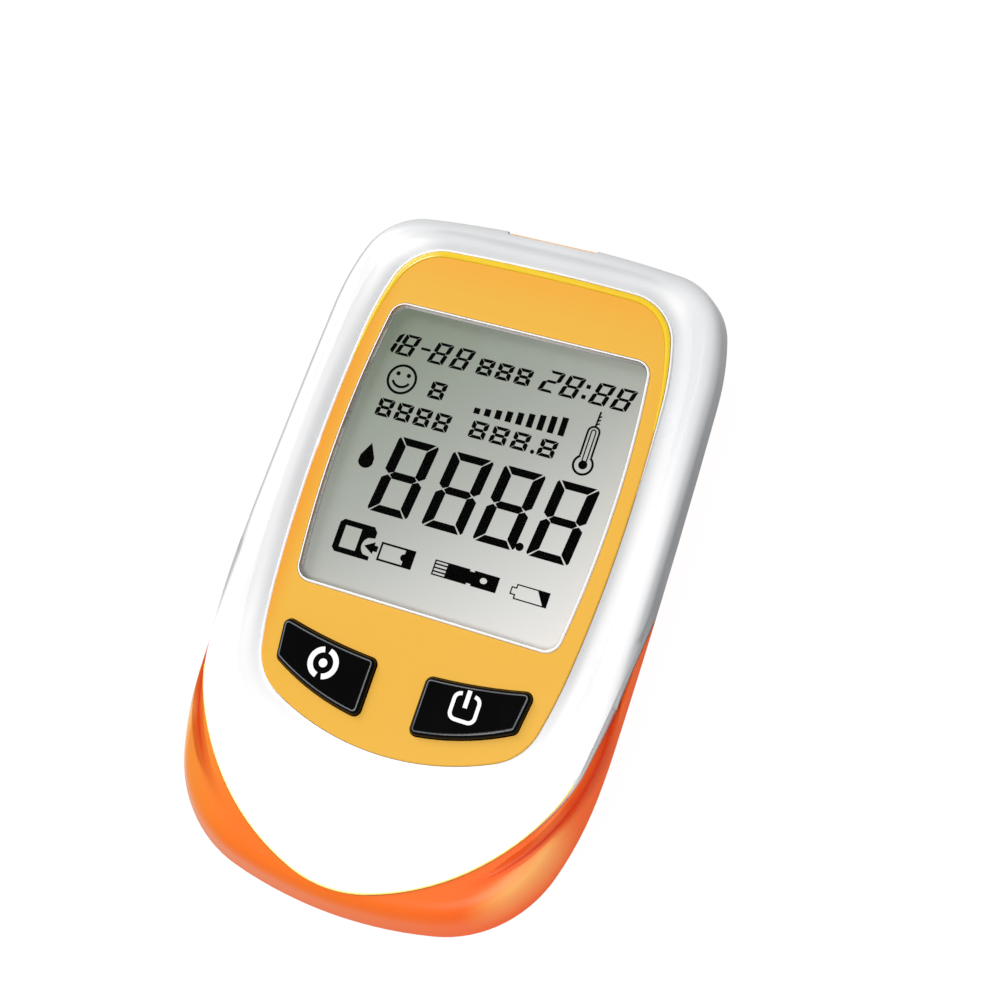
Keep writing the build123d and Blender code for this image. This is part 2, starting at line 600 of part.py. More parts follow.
# ---------------------------------------------------------------- strip port
def slot_room(y0, y1, grow=0.0):
    x, z = SLOT_HALF_W + grow, SLOT_H / 2 + grow
    return block(-x, x, y0, y1, SLOT_Z - z, SLOT_Z + z)


def strip_connector():
    x = SOCKET_HALF_W
    socket = block(-x, x, SOCKET_LOW_Y, SOCKET_HIGH_Y, BOARD_TOP, BOARD_TOP + SOCKET_H)
    return socket - slot_room(SOCKET_LOW_Y + SOCKET_BACK, SOCKET_HIGH_Y)


def strip_contacts():
    """Row of bent spring fingers that press down on the strip in its slot."""
    top = SLOT_Z + SLOT_H / 2
    low = top - FINGER_DIP
    y0, y3 = SOCKET_LOW_Y + SOCKET_BACK, SOCKET_HIGH_Y - SLOT_FLARE
    y1, y2 = y0 + (y3 - y0) / 3, y0 + (y3 - y0) * 2 / 3
    t = FINGER_THICK
    profile = Polygon((y0, top - t), (y0, top), (y1, top), (y2, low + t), (y3, low + t + FINGER_LIFT),
                      (y3, low + FINGER_LIFT), (y2, low), (y1, top - t), align=None)
    solids = []
    for i in range(FINGERS):
        x = (i - (FINGERS - 1) / 2) * FINGER_PITCH
        finger = extrude(Plane.YZ * profile, amount=FINGER_W / 2, both=True)
        solids.append(Pos(x, 0, 0) * finger)
    return solids


def strip_port_guide():
    """Mouth of the strip slot: follows the end of the body, just proud of the notch."""
    x = PORT_HALF_W - PORT_FIT
    y0 = SOCKET_HIGH_Y + PORT_FIT
    y1 = HIGH_END - PORT_DEPTH + PORT_PROUD
    guide = block(-x, x, y0, y1, 0, PORT_TOP_Z - PORT_FIT) & part_region()
    guide &= body_form(CREST_Z, RIM_ROUND, PORT_FIT)
    guide -= slot_room(y0, y1)
    narrow = Pos(0, SLOT_Z) * Rectangle(2 * SLOT_HALF_W, SLOT_H)
    wide = Pos(0, SLOT_Z) * Rectangle(2 * (SLOT_HALF_W + SLOT_FLARE), SLOT_H + 2 * SLOT_FLARE)
    mouth = loft([Plane.XZ.offset(2 * SLOT_FLARE - y1) * narrow, Plane.XZ.offset(-y1) * wide])
    return guide - mouth


# ---------------------------------------------------------------- cells and their contacts
def cell(side):
    """AAA cell; the left one points to the strip end, the right one to the lower end."""
    low = BAY_LOW_Y + PLATE_THICK + (SPRING_L if side < 0 else 0)
    can = Cylinder(CELL_R, CELL_L - NUB_H)
    can = chamfer(can.edges().group_by(Axis.Z)[0] + can.edges().group_by(Axis.Z)[-1], CELL_EDGE)
    nub = Pos(0, 0, CELL_L / 2) * Cylinder(NUB_R, NUB_H)
    nub = chamfer(nub.edges().group_by(Axis.Z)[-1], NUB_EDGE)
    body = Pos(0, 0, -NUB_H / 2) * (can + nub)
    return Pos(side * CELL_X, low + CELL_L / 2, CELL_Z) * Rot(side * 90, 0, 0) * body


def battery_springs():
    pitch = (SPRING_L - SPRING_WIRE) / SPRING_TURNS
    path = Helix(pitch, SPRING_L - SPRING_WIRE, SPRING_R)
    section = RegularPolygon(SPRING_WIRE / 2, 6)
    wire = sweep(Plane(path @ 0, z_dir=path % 0) * section, path=path, is_frenet=True)
    solids = []
    for side, y in ((-1, BAY_LOW_Y + PLATE_THICK), (1, BAY_HIGH_Y - PLATE_THICK - SPRING_L)):
        place = Pos(side * CELL_X, y + SPRING_L - SPRING_WIRE / 2, CELL_Z) * Rot(90, 0, 0)
        solids.append(place * wire)
    return solids


def battery_plates():
    """One plate behind each cell at the lower end, and one that joins both at the other."""
    low_z, high_z = CELL_Z - PLATE_H / 2, CELL_Z + PLATE_H / 2
    half = PLATE_W / 2
    solids = []
    for x in (-CELL_X, CELL_X):
        solids.append(block(x - half, x + half, BAY_LOW_Y, BAY_LOW_Y + PLATE_THICK, low_z, high_z))
    x = CELL_X + half
    solids.append(block(-x, x, BAY_HIGH_Y - PLATE_THICK, BAY_HIGH_Y, low_z, high_z))
    return solids


# ---------------------------------------------------------------- door, screws and feet
def battery_door():
    """Sliding cover: back plate, end that climbs the body, tongues over the rails, latch tab."""
    plate = fender_form() & block(-DOOR_HALF_W, DOOR_HALF_W, LOW_END, DOOR_HIGH_Y, 0, DOOR_WRAP_Z)
    plate -= body_form(CEILING_Z, 0, DOOR_THICK)
    floor = BACK_Z + DOOR_THICK
    low, high = BAY_LOW_Y + WALL, DOOR_HIGH_Y - WALL
    for side in (-1, 1):
        x0, x1 = sorted((side * (RAIL_X - DOOR_FIT - TONGUE_W), side * (RAIL_X - DOOR_FIT)))
        plate += block(x0, x1, low, high, floor - DOOR_THICK / 2, TONGUE_Z + TONGUE_THICK)
        x0, x1 = sorted((side * (RAIL_X - DOOR_FIT - TONGUE_W), side * (DOOR_HALF_W - DOOR_FIT)))
        plate += block(x0, x1, low, high, TONGUE_Z, TONGUE_Z + TONGUE_THICK)
    x = LATCH_HALF_W
    low, high = DOOR_HIGH_Y - LATCH_REACH, DOOR_HIGH_Y + LATCH_REACH
    tab_z = BACK_Z + WALL + DOOR_FIT
    plate += block(-x, x, low, DOOR_HIGH_Y, floor - DOOR_THICK / 2, tab_z + TONGUE_THICK)
    plate += block(-x, x, low, high, tab_z, tab_z + TONGUE_THICK)
    for i in range(RIDGES):
        y = LOW_END + RIDGE_FROM_END + i * RIDGE_PITCH
        groove = Pos(0, y, BACK_Z) * Rot(0, 90, 0) * Cylinder(RIDGE_R, RIDGE_LENGTH)
        plate -= groove
    return plate


def screw(x, y, seat, radius, length, head_r, head_h):
    """Pan head with a cross recess; the shank points up from its seat."""
    body = rod(x, y, seat - head_h, seat, head_r)
    body = chamfer(body.edges().group_by(Axis.Z)[0], head_h / 3)
    for a, b in ((head_r * 0.6, head_r * 0.15), (head_r * 0.15, head_r * 0.6)):
        body -= block(x - a, x + a, y - b, y + b, seat - head_h, seat - head_h / 2)
    shank = rod(x, y, seat, seat + length, radius)
    shank = chamfer(shank.edges().group_by(Axis.Z)[-1], radius / 2)
    return body + shank


def housing_screws():
    return [screw(x, y, SEAT_Z, SCREW_R, SCREW_L, SCREW_HEAD_R, SCREW_HEAD_H)
            for x, y in both_sides(SCREWS)]


def board_screws():
    seat = BOARD_TOP - BOARD_THICK
    return [screw(x, y, seat, BOARD_SCREW_R, BOARD_SCREW_L, BOARD_SCREW_HEAD_R, BOARD_SCREW_HEAD_H)
            for x, y in both_sides(BOARD_SCREWS)]


def rubber_feet():
    solids = []
    for x, y in both_sides(FEET):
        foot = rod(x, y, 0, BACK_Z + FOOT_SUNK, FOOT_R)
        solids.append(chamfer(foot.edges().group_by(Axis.Z)[0], FOOT_PROUD / 2))
    return solids


PARTS = {
    "top_shell": top_shell,
    "rear_shell": rear_shell,
    "face_plate": face_plate,
    "display_window": display_window,
    "lcd_front_glass": lcd_front_glass,
    "lcd_rear_glass": lcd_rear_glass,
    "lcd_reflector": lcd_reflector,
    "lcd_frame": lcd_frame,
    "zebra_strips": lambda: zebra_places(0),
    "memory_button": lambda: button(-1),
    "power_button": lambda: button(1),
    "left_switch_plunger": lambda: switch_plunger(-1),
    "right_switch_plunger": lambda: switch_plunger(1),
    "switch_bodies": switch_bodies,
    "main_board": main_board,
    "main_chip": main_chip,
    "memory_chip": memory_chip,
    "crystal": crystal,
    "board_passives": board_passives,
    "buzzer": buzzer,
    "strip_connector": strip_connector,
    "strip_contacts": strip_contacts,
    "strip_port_guide": strip_port_guide,
    "battery_left": lambda: cell(-1),
    "battery_right": lambda: cell(1),
    "battery_springs": battery_springs,
    "battery_plates": battery_plates,
    "battery_door": battery_door,
    "housing_screws": housing_screws,
    "board_screws": board_screws,
    "rubber_feet": rubber_feet,
}


def main():
    os.makedirs("parts", exist_ok=True)
    for name, make in PARTS.items():
        shape = make()
        if isinstance(shape, list):
            shape = Compound(children=shape)
        export_step(shape, f"parts/{name}.step")


if __name__ == "__main__":
    main()
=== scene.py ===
import math

import bmesh
import bpy
from mathutils import Matrix, Vector


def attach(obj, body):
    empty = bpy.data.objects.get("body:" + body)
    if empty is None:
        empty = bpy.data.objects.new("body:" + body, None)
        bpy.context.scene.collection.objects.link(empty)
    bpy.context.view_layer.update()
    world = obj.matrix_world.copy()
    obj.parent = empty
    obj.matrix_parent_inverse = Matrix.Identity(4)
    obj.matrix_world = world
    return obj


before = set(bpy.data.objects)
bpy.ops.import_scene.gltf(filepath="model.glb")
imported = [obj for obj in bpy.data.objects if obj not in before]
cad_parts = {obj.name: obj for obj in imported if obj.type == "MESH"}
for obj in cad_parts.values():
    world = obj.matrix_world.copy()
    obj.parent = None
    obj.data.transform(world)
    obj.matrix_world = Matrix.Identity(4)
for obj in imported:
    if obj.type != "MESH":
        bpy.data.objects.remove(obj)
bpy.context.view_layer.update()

MM = 0.001
WINDOW_Y = 12.45           # middle of the display window
GLASS_TOP = 19.1           # face of the display glass
PLATE_TOP = 20.4           # face of the amber plate
WINDOW_TOP = 20.6          # face of the clear window
KEY_TOP = 21.3             # top of the two keys
INK = 0.03                 # thickness of printed and display marks
X_AXIS, Y_AXIS, Z_AXIS = (1, 0, 0), (0, 1, 0), (0, 0, 1)
LOW_END, HIGH_END = -47.0, 47.0                # ends of the body
HALF_W, PLATE_HALF_W = 28.75, 22.0             # half widths of the body and of the amber plate
WIDE_Z, CREST_Z = 16.6, 21.2                   # widest contour and highest line of the white rim
RIM_ROUND = 2.4            # radius of the white rim
RIM_DRAFT = 8.0            # lean of the wall below the rim, in degrees
FLANK_LEAN = 0.14          # least upward part of the rim's worked-out normal
RIM_FROM, RIM_FULL = 0.56, 0.68                # where the worked-out normals start and are full
SEAM_STOP = -22.0          # the painted highlight line on the seam ends here, on both sides
ARCH_STEPS = 6             # steps over a bead's arch
GLASS_SHIFT_X, GLASS_SHIFT_Y, GLASS_SCALE = 0.497, -0.319, 0.9929    # window's face to the glass below


# ---------------------------------------------------------------- camera
def make_camera():
    """The photograph's own view, solved from the outline of the display window."""
    right = Vector((0.92032, 0.31957, -0.22559)).normalized()
    ahead = Vector((-0.29595, 0.19173, -0.93576)).normalized()
    up = right.cross(ahead).normalized()
    right = ahead.cross(up)
    place = Vector((69.96, -32.43, 225.97)) * MM
    data = bpy.data.cameras.new("camera")
    data.sensor_width = 36.0
    data.lens = 60.65
    data.clip_start = 0.01
    camera = bpy.data.objects.new("camera", data)
    bpy.context.scene.collection.objects.link(camera)
    axes = Matrix((right, up, -ahead)).transposed().to_4x4()
    camera.matrix_world = Matrix.Translation(place) @ axes
    bpy.context.scene.camera = camera


make_camera()


# ---------------------------------------------------------------- materials
def linear(red, green, blue):
    """A colour given as 0 to 255 on a screen, as the renderer's linear values."""
    def one(c):
        c /= 255.0
        return c / 12.92 if c <= 0.04045 else ((c + 0.055) / 1.055) ** 2.4
    return (one(red), one(green), one(blue), 1.0)


class Material:
    """A principled material with short ways to add procedural detail."""

    def __init__(self, name, colour, roughness, **inputs):
        self.data = bpy.data.materials.new(name)
        self.data.use_nodes = True
        self.nodes = self.data.node_tree.nodes
        self.links = self.data.node_tree.links
        self.shader = self.nodes["Principled BSDF"]
        self.shader.inputs["Base Color"].default_value = linear(*colour)
        self.shader.inputs["Roughness"].default_value = roughness
        for key, value in inputs.items():
            self.shader.inputs[key.replace("_", " ")].default_value = value
        self.roughness = roughness

    def node(self, kind, **settings):
        node = self.nodes.new(kind)
        for key, value in settings.items():
            setattr(node, key, value)
        return node

    def place(self):
        """Position on the object, in millimetres."""
        coords = self.node("ShaderNodeTexCoord")
        scale = self.node("ShaderNodeVectorMath", operation="SCALE")
        scale.inputs["Scale"].default_value = 1000.0
        self.links.new(coords.outputs["Object"], scale.inputs[0])
        return scale.outputs["Vector"]

    def noise(self, size, detail):
        """Noise with features of about that size in millimetres."""
        vector = self.place()
        noise = self.node("ShaderNodeTexNoise")
        noise.inputs["Scale"].default_value = 1.0 / size
        noise.inputs["Detail"].default_value = detail
        self.links.new(vector, noise.inputs["Vector"])
        return noise.outputs["Fac"]

    def remap(self, value, low, high, to_low, to_high):
        node = self.node("ShaderNodeMapRange")
        keys = ("From Min", "From Max", "To Min", "To Max")
        for key, number in zip(keys, (low, high, to_low, to_high)):
            node.inputs[key].default_value = number
        self.links.new(value, node.inputs["Value"])
        return node.outputs["Result"]

    def vary_roughness(self, size, amount):
        fac = self.noise(size, 3.0)
        out = self.remap(fac, 0.3, 0.7, self.roughness - amount, self.roughness + amount)
        self.links.new(out, self.shader.inputs["Roughness"])
        return self

    def bump(self, size, depth, strength):
        """Fine relief: depth in millimetres."""
        node = self.node("ShaderNodeBump")
        node.inputs["Strength"].default_value = strength
        node.inputs["Distance"].default_value = depth * MM
        if self.shader.inputs["Normal"].is_linked:
            self.links.new(self.shader.inputs["Normal"].links[0].from_socket, node.inputs["Normal"])
        self.links.new(self.noise(size, 4.0), node.inputs["Height"])
        self.links.new(node.outputs["Normal"], self.shader.inputs["Normal"])
        return self

    def mix_in(self, fac, colour):
        """Lays another colour over the base where fac is 1."""
        base = self.shader.inputs["Base Color"]
        mix = self.node("ShaderNodeMix", data_type="RGBA")
        mix.inputs["Factor"].default_value = 0.0
        self.links.new(fac, mix.inputs["Factor"])
        if base.is_linked:
            self.links.new(base.links[0].from_socket, mix.inputs["A"])
        else:
            mix.inputs["A"].default_value = base.default_value
        mix.inputs["B"].default_value = linear(*colour)
        self.links.new(mix.outputs["Result"], base)
        return self

    def tint(self, colour, *masks):
        """Lays another colour over the base where all the masks are 1."""
        return self.mix_in(self.both(*masks) if len(masks) > 1 else masks[0], colour)

    def along(self, way, start, stop, shape="SMOOTHSTEP"):
        """0 at start and 1 at stop, in millimetres along a direction on the object."""
        dot = self.node("ShaderNodeVectorMath", operation="DOT_PRODUCT")
        dot.inputs[1].default_value = Vector(way).normalized()
        self.links.new(self.place(), dot.inputs[0])
        node = self.node("ShaderNodeMapRange", interpolation_type=shape)
        node.inputs["From Min"].default_value = start
        node.inputs["From Max"].default_value = stop
        self.links.new(dot.outputs["Value"], node.inputs["Value"])
        return node.outputs["Result"]

    def beside_plate(self):
        """1 in the dish along the plate's two long sides, where shade is painted, fading out to the rim and
        to both ends.
        """
        split = self.node("ShaderNodeSeparateXYZ")
        self.links.new(self.place(), split.inputs["Vector"])
        away = self.node("ShaderNodeMath", operation="ABSOLUTE")
        self.links.new(split.outputs["X"], away.inputs[0])
        fac = self.both(self.remap(away.outputs["Value"], 25.4, 24.4, 0.0, 1.0),
                        self.remap(away.outputs["Value"], 22.4, 23.6, 0.0, 1.0))
        for start, stop in ((-22.0, -10.0), (41.5, 35.0)):
            fac = self.both(fac, self.along(Y_AXIS, start, stop))
        return fac

    def ramp(self, fac, stops):
        """Base colour from a ramp of (place, colour)."""
        ramp = self.node("ShaderNodeValToRGB")
        points = ramp.color_ramp.elements
        while len(points) < len(stops):
            points.new(0.5)
        for point, (place, colour) in zip(points, stops):
            point.position = place
            point.color = linear(*colour)
        self.links.new(fac, ramp.inputs["Fac"])
        self.links.new(ramp.outputs["Color"], self.shader.inputs["Base Color"])
        return self

    def off(self, value, middle):
        """How far the value is from the middle, either way."""
        away = self.node("ShaderNodeMath", operation="SUBTRACT")
        away.inputs[1].default_value = middle
        self.links.new(value, away.inputs[0])
        size = self.node("ShaderNodeMath", operation="ABSOLUTE")
        self.links.new(away.outputs["Value"], size.inputs[0])
        return size.outputs["Value"]

    def tilted(self, low, high):
        """1 where the upward part of the surface's normal lies between low and high."""
        coords = self.node("ShaderNodeTexCoord")
        split = self.node("ShaderNodeSeparateXYZ")
        self.links.new(coords.outputs["Normal"], split.inputs["Vector"])
        middle = (low + high) / 2
        off = self.off(split.outputs["Z"], middle)
        return self.remap(off, high - middle, (high - middle) * 0.6, 0.0, 1.0)

    def smooth_rim(self, radius, top, reach):
        """Shading normals of a rounded rim, worked out from the place instead of taken from the mesh.

        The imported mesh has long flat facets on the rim, which show as dents with its own normals. The way
        out is taken from a rounded oblong of that reach in X and Y, and the lean from the height.
        """
        def vector(operation, first, second):
            node = self.node("ShaderNodeVectorMath", operation=operation)
            for value, socket in ((first, node.inputs[0]), (second, node.inputs[1])):
                if isinstance(value, tuple):
                    socket.default_value = value
                else:
                    self.links.new(value, socket)
            return node.outputs["Value" if operation == "DOT_PRODUCT" else "Vector"]
        place = self.place()
        unit = vector("MULTIPLY", place, (1 / reach[0], 1 / reach[1], 0.0))
        square = vector("MULTIPLY", unit, unit)
        fourth = vector("MULTIPLY", square, square)
        fifth = vector("MULTIPLY", fourth, unit)
        out = self.node("ShaderNodeVectorMath", operation="NORMALIZE")
        self.links.new(fifth, out.inputs[0])
        lean = self.remap(vector("DOT_PRODUCT", place, Z_AXIS), top - radius, top, 0.0, 1.0)
        steep = self.node("ShaderNodeMath", operation="MAXIMUM")
        steep.inputs[1].default_value = FLANK_LEAN
        self.links.new(lean, steep.inputs[0])
        flat = self.node("ShaderNodeMath", operation="SQRT")
        square_up = self.both(steep.outputs["Value"], steep.outputs["Value"])
        self.links.new(self.remap(square_up, 0.0, 1.0, 1.0, 0.0), flat.inputs[0])
        across = self.node("ShaderNodeVectorMath", operation="SCALE")
        self.links.new(out.outputs["Vector"], across.inputs[0])
        self.links.new(flat.outputs["Value"], across.inputs["Scale"])
        upward = self.node("ShaderNodeCombineXYZ")
        self.links.new(steep.outputs["Value"], upward.inputs["Z"])
        curved = vector("ADD", across.outputs["Vector"], upward.outputs["Vector"])
        near_rim = self.remap(vector("DOT_PRODUCT", fifth, unit), RIM_FROM, RIM_FULL, 0.0, 1.0)
        coords = self.node("ShaderNodeTexCoord")
        mix = self.node("ShaderNodeMix", data_type="VECTOR")
        mix.inputs["Factor"].default_value = 0.0
        self.links.new(near_rim, mix.inputs["Factor"])
        self.links.new(coords.outputs["Normal"], mix.inputs["A"])
        self.links.new(curved, mix.inputs["B"])
        self.links.new(mix.outputs["Result"], self.shader.inputs["Normal"])
        return self

    def near_ring(self, centre, radius, width):
        """1 on a circle seen from above, fading out to both sides of it."""
        flat = self.node("ShaderNodeVectorMath", operation="MULTIPLY")
        flat.inputs[1].default_value = (1, 1, 0)
        self.links.new(self.place(), flat.inputs[0])
        away = self.node("ShaderNodeVectorMath", operation="DISTANCE")
        away.inputs[1].default_value = centre
        self.links.new(flat.outputs["Vector"], away.inputs[0])
        return self.remap(self.off(away.outputs["Value"], radius), width, 0.0, 0.0, 1.0)

    def both(self, first, second, *more):
        """Product of two or more masks."""
        node = self.node("ShaderNodeMath", operation="MULTIPLY")
        self.links.new(first, node.inputs[0])
        self.links.new(second, node.inputs[1])
        return self.both(node.outputs["Value"], *more) if more else node.outputs["Value"]

    def speckle(self, size, colour, share):
        fac = self.remap(self.noise(size, 3.0), 0.5, 0.75, 0.0, share)
        return self.mix_in(fac, colour)


# The tints below are painted light and shade, laid on the object by place, as the photograph shows them:
# painted shade in greys on the white shell, and on the orange one painted light and shade from side to side
# and down the walls, two painted amber reflections and the painted shade of the crease's dark line.
white = Material("white_shell", (250, 250, 251), 0.32, Specular_IOR_Level=0.35)
# painted shade: light greys in the dish beside the plate, on its right side and along the top rim
white.tint((238, 238, 239), white.beside_plate())
white.tint((224, 225, 227), white.along(X_AXIS, 18.0, 23.0), white.along(Y_AXIS, 4.0, 38.0))
white.tint((216, 217, 218), white.along(Y_AXIS, 40.0, 44.5))
# painted shade: greys down the rounded rim, darkest on the right flank, and a grey line at the left edge
white.tint((204, 205, 207), white.along(Z_AXIS, 20.95, 20.2), white.along(Y_AXIS, -30.0, -6.0))
white.tint((126, 127, 130), white.along(Z_AXIS, 20.5, 18.8), white.along(Y_AXIS, -18.0, 4.0),
           white.along(X_AXIS, 4.0, 24.0))
white.tint((166, 167, 170), white.along(Z_AXIS, 20.95, 20.35), white.along(X_AXIS, -22.0, -26.0),
           white.along(Y_AXIS, -32.0, -24.0), white.along(Z_AXIS, 18.2, 19.2))
white.tint((172, 173, 176), white.along(X_AXIS, -26.6, -27.5), white.along(Y_AXIS, -30.0, -25.0),
           white.along(Y_AXIS, 0.0, -8.0))
white.speckle(14.0, (246, 247, 249), 0.1).vary_roughness(9.0, 0.05)
white.smooth_rim(RIM_ROUND, CREST_Z, (28.3, 47.0)).bump(0.5, 0.004, 0.25)

orange = Material("orange_shell", (244, 116, 38), 0.34, Specular_IOR_Level=0.15)
# painted light and shade: redder towards the right and low on the walls, amber towards the left side
orange.tint((250, 104, 38), orange.along(X_AXIS, -4.0, 26.0))
orange.tint((232, 138, 52), orange.along(X_AXIS, -12.0, -27.0))
orange.tint((238, 94, 38), orange.along(Z_AXIS, 18.4, 15.4))
# painted highlights: two amber reflections on the fender's right and left lower corners
orange.tint((254, 182, 106), orange.near_ring((9.0, -27.0, 0.0), 16.6, 2.2),
            orange.along(X_AXIS, 17.0, 23.0), orange.along(Y_AXIS, -24.0, -32.0),
            orange.along(Z_AXIS, 10.0, 15.0))
orange.tint((250, 186, 96), orange.near_ring((-8.0, -30.0, 0.0), 18.3, 1.5),
            orange.along(Y_AXIS, -38.0, -34.0), orange.along(Y_AXIS, -25.0, -29.0),
            orange.along(Z_AXIS, 10.0, 15.0))
# painted shade: dark red line of the crease along the fender's wings
orange.tint((200, 50, 14), orange.near_ring((0.0, LOW_END + 30.3, 0.0), 27.7, 1.0),
            orange.along(Y_AXIS, -40.0, -30.0), orange.along(Z_AXIS, 13.0, 15.5))
orange.vary_roughness(8.0, 0.05).bump(0.5, 0.004, 0.2)

port_orange = Material("port_orange", (246, 184, 110), 0.4, Specular_IOR_Level=0.2)
port_orange.speckle(8.0, (240, 170, 92), 0.4).vary_roughness(6.0, 0.05)

amber = Material("amber_plate", (230, 175, 61), 0.42, Specular_IOR_Level=0.3)
# painted shade: deeper orange towards the plate's left edge and towards its top
amber.tint((232, 156, 42), amber.along(X_AXIS, -18.0, -22.0))
amber.tint((234, 168, 56), amber.along(Y_AXIS, 34.5, 41.0))
amber.vary_roughness(8.0, 0.05).bump(0.4, 0.004, 0.2)

# The bead's bright yellow is a painted highlight on the plate's raised top edge.
bead = Material("plate_bead_highlight", (240, 202, 34), 0.25, Coat_Weight=0.4, Coat_Roughness=0.1)
bead.speckle(6.0, (240, 190, 24), 0.6).vary_roughness(5.0, 0.05)

# The seam line's pale yellow and faint glow are a painted highlight on the seam's edge.
seam_highlight = Material("seam_highlight_line", (254, 232, 130), 0.4, Emission_Color=linear(254, 226, 120),
                     Emission_Strength=0.2)
seam_highlight.speckle(6.0, (252, 220, 100), 0.5).vary_roughness(5.0, 0.05)

lip = Material("white_lip", (254, 254, 254), 0.3, Coat_Weight=0.3, Coat_Roughness=0.1)
lip.speckle(6.0, (250, 250, 251), 0.4).vary_roughness(5.0, 0.05)

display = Material("display_face", (150, 162, 146), 0.5, Specular_IOR_Level=0.1)
display.ramp(display.along((1.2, -1.35, 0.0), -34.2, 16.1, "LINEAR"),
             ((0.0, (133, 144, 127)), (0.5, (179, 183, 176)), (1.0, (238, 237, 235))))
display.speckle(3.0, (196, 202, 194), 0.06).vary_roughness(3.0, 0.06)

ink = Material("display_ink", (4, 5, 4), 0.6, Specular_IOR_Level=0.0)
ink.speckle(1.5, (10, 11, 10), 0.5).vary_roughness(2.0, 0.05)

window = Material("clear_window", (12, 14, 12), 0.08, Alpha=0.04, IOR=1.49)
window.vary_roughness(12.0, 0.02)

key_black = Material("black_key", (3, 3, 4), 0.14, Specular_IOR_Level=0.12)
# painted highlight: grey lines on the keys' rounded top edges, where the surface leans a little
key_black.tint((112, 114, 118), key_black.tilted(0.9, 0.99))
key_black.speckle(5.0, (5, 5, 6), 0.4).vary_roughness(4.0, 0.03).bump(0.5, 0.004, 0.1)

key_print = Material("key_print", (244, 244, 244), 0.5)
key_print.speckle(0.6, (226, 226, 228), 0.5).vary_roughness(1.0, 0.06)

rubber = Material("foot_rubber", (34, 34, 36), 0.8)
rubber.speckle(1.2, (46, 46, 48), 0.8).vary_roughness(1.0, 0.08).bump(0.4, 0.02, 0.6)

steel = Material("bright_steel", (176, 178, 182), 0.3, Metallic=1.0)
steel.speckle(0.8, (150, 152, 156), 0.6).vary_roughness(1.0, 0.1).bump(0.2, 0.004, 0.4)

jacket = Material("cell_jacket", (44, 48, 54), 0.32, Metallic=0.6, Coat_Weight=0.3)
jacket.speckle(4.0, (56, 60, 66), 0.6).vary_roughness(4.0, 0.06)

board = Material("circuit_board", (22, 92, 52), 0.42)
board.speckle(1.6, (16, 74, 40), 0.9).vary_roughness(2.0, 0.08).bump(0.8, 0.02, 0.4)

dark_plastic = Material("dark_plastic", (26, 26, 27), 0.5)
dark_plastic.speckle(1.0, (38, 38, 40), 0.6).vary_roughness(1.0, 0.1).bump(0.3, 0.01, 0.4)

ivory_plastic = Material("ivory_plastic", (214, 210, 196), 0.5)
ivory_plastic.speckle(1.5, (202, 198, 184), 0.6).vary_roughness(1.5, 0.08).bump(0.4, 0.01, 0.3)

ceramic = Material("tan_ceramic", (168, 140, 100), 0.5)
ceramic.speckle(0.5, (150, 122, 84), 0.8).vary_roughness(0.6, 0.1)

gold = Material("gold_contact", (222, 178, 92), 0.25, Metallic=1.0)
gold.speckle(0.5, (204, 158, 72), 0.6).vary_roughness(0.6, 0.08)

NODE_MATERIALS = {
    "top_shell": white,
    "rear_shell": orange,
    "battery_door": orange,
    "strip_port_guide": port_orange,
    "face_plate": amber,
    "display_window": window,
    "lcd_front_glass": display,
    "lcd_rear_glass": display,
    "lcd_reflector": ivory_plastic,
    "lcd_frame": ivory_plastic,
    "zebra_strips": dark_plastic,
    "memory_button": key_black,
    "power_button": key_black,
    "left_switch_plunger": ivory_plastic,
    "right_switch_plunger": ivory_plastic,
    "switch_bodies": dark_plastic,
    "main_board": board,
    "main_chip": dark_plastic,
    "memory_chip": dark_plastic,
    "crystal": steel,
    "board_passives": ceramic,
    "buzzer": dark_plastic,
    "strip_connector": ivory_plastic,
    "strip_contacts": gold,
    "battery_left": jacket,
    "battery_right": jacket,
    "battery_springs": steel,
    "battery_plates": steel,
    "housing_screws": steel,
    "board_screws": steel,
    "rubber_feet": rubber,
}

for name, material in NODE_MATERIALS.items():
    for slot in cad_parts[name].material_slots:
        slot.link = "OBJECT"
        slot.material = material.data


# ---------------------------------------------------------------- pieces of the scene's own
def add_piece(name, bm, material, body):
    """Makes a piece of the bmesh, which rides on the body."""
    bmesh.ops.recalc_face_normals(bm, faces=bm.faces)
    mesh = bpy.data.meshes.new(name)
    bm.to_mesh(mesh)
    bm.free()
    piece = bpy.data.objects.new(name, mesh)
    bpy.context.scene.collection.objects.link(piece)
    mesh.materials.append(material.data)
    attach(piece, body)


def mark(name, polygons, low, thick, material, body="housing"):
    """Thin piece with these outlines, in millimetres on the object, standing on z = low."""
    bm = bmesh.new()
    for points in polygons:
        bm.faces.new([bm.verts.new((x * MM, y * MM, low * MM)) for x, y in points])
    bmesh.ops.remove_doubles(bm, verts=bm.verts, dist=1e-7)
    grown = bmesh.ops.extrude_face_region(bm, geom=bm.faces[:])
    top = [part for part in grown["geom"] if isinstance(part, bmesh.types.BMVert)]
    bmesh.ops.translate(bm, verts=top, vec=(0, 0, thick * MM))
    add_piece(name, bm, material, body)


def disc(x, y, radius):
    steps = 28
    turns = [2 * math.pi * i / steps for i in range(steps)]
    return [(x + radius * math.cos(a), y + radius * math.sin(a)) for a in turns]


def arc(x, y, radius, start, stop, steps=14):
    """Points on an arc, angles in degrees."""
    turns = [math.radians(start + (stop - start) * i / steps) for i in range(steps + 1)]
    return [(x + radius * math.cos(a), y + radius * math.sin(a)) for a in turns]


